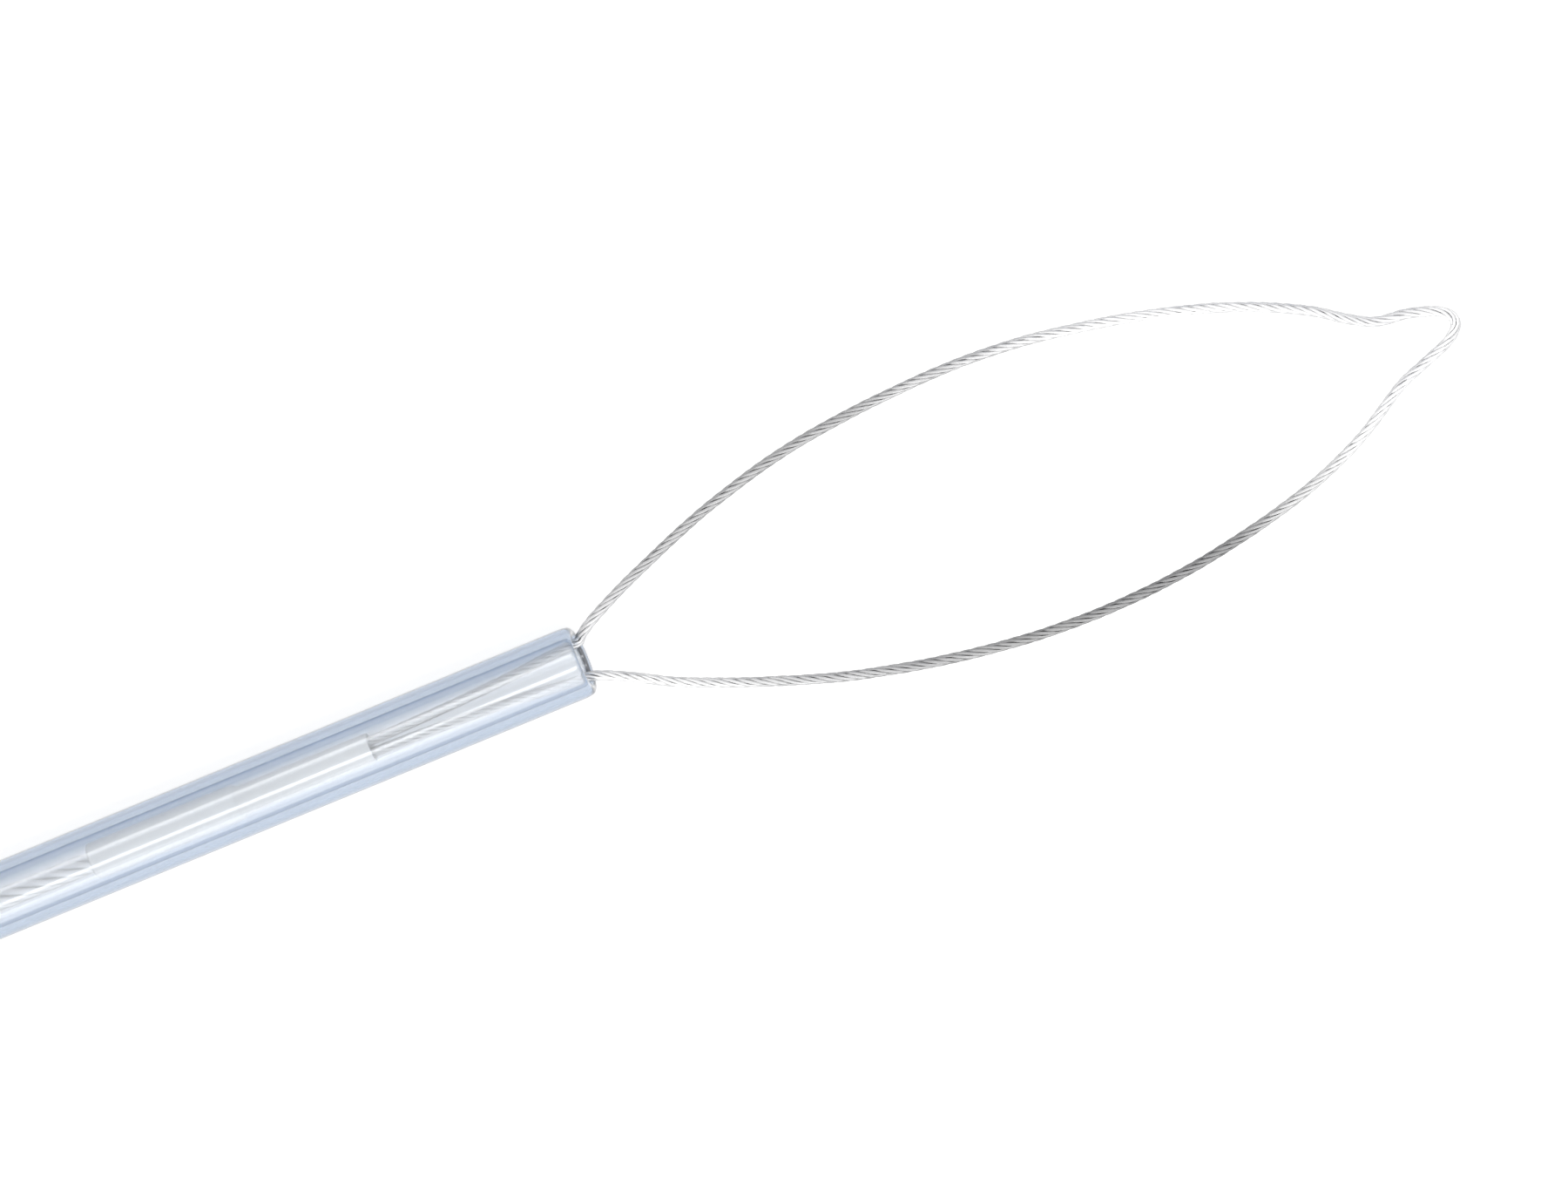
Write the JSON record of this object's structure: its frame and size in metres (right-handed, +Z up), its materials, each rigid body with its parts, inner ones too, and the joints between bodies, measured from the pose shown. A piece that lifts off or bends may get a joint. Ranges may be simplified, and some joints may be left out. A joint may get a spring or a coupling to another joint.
{
  "type": "polypectomy snare",
  "caption": "Polypectomy snare: three-ring handle with sliding spool and connector pin, long coiled plastic sheath, and a braided wire loop that retracts into the sheath's open tip.",
  "frame": {"origin": "middle of the flat underside of the handle's nose block, on the table", "axes": "+X along the handle toward its nose and the sheath exit, +Z up off the table, +Y to the side where the coil and the loop lie"},
  "size_m": [0.2521, 0.1227, 0.0435],
  "materials": {
    "handle_plastic": "satin moulded ABS",
    "spool_plastic": "satin moulded ABS",
    "collar_plastic": "matt",
    "pin_metal": "nickel plated",
    "nut_metal": "nickel plated",
    "clamp_brass": "machined",
    "screw_steel": "dark steel",
    "tube_steel": "polished stainless",
    "bush_brass": "turned",
    "barrel_plastic": "satin moulded ABS",
    "ferrule_metal": "turned stainless",
    "relief_rubber": "matt soft",
    "sheath_plastic": "translucent pale blue fluoropolymer",
    "cable_steel": "stranded stainless",
    "crimp_steel": "drawn stainless",
    "loop_steel": "braided bright stainless"
  },
  "bodies": {
    "handle": {"handle_shaft": "handle_plastic", "guide_bush": "bush_brass", "nose_barrel": "barrel_plastic", "ferrule": "ferrule_metal", "strain_relief": "relief_rubber", "sheath_lead": "sheath_plastic", "sheath_coil": "sheath_plastic", "sheath_tip": "sheath_plastic"},
    "spool": {"slider": "spool_plastic", "pin_collar": "collar_plastic", "connector_pin": "pin_metal", "pin_nut": "nut_metal", "clamp_block": "clamp_brass", "clamp_screw_front": "screw_steel", "clamp_screw_rear": "screw_steel", "drive_tube": "tube_steel", "cable_proximal": "cable_steel"},
    "loop": {"loop_wire": "loop_steel", "crimp_sleeve": "crimp_steel", "cable_distal": "cable_steel"}
  },
  "joints": [
    {"name": "spool_slide", "type": "slide", "parent": "handle", "child": "spool", "axis": [-1, 0, 0], "range_m": [0, 0.036]},
    {"name": "loop_slide", "type": "slide", "parent": "handle", "child": "loop", "axis": [1, 0, 0], "range_m": [0, 0.036], "deforming": ["loop_wire"]}
  ],
  "couplings": [
    {"joint": "loop_slide", "follows": "spool_slide", "ratio": 1}
  ]
}
